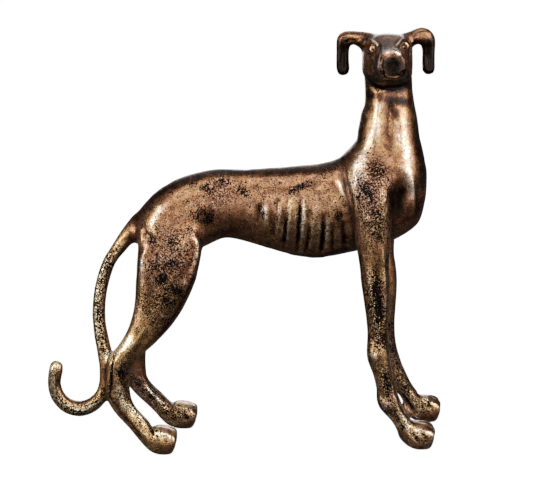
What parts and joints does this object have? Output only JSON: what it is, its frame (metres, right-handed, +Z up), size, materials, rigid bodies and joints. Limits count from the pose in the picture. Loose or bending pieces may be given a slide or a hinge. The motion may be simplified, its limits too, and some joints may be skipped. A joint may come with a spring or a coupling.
{
  "type": "greyhound sculpture",
  "caption": "Standing greyhound cast in brass with its head turned to its right, folded ears, arched loin and a long tail cast onto the hock, for a shelf or a hearth.",
  "frame": {"origin": "middle of the bounding box, at the soles", "axes": "+X from tail to breast, the way the body faces, +Y to the dog's left, +Z up; the head is turned to -Y"},
  "size_m": [0.2926, 0.0882, 0.3],
  "materials": {
    "greyhound": "antique brass, brown patina rubbed back to satin metal on the high places, dark in the hollows, sand-cast pits"
  },
  "bodies": {
    "root": {"greyhound": "greyhound"}
  },
  "joints": []
}
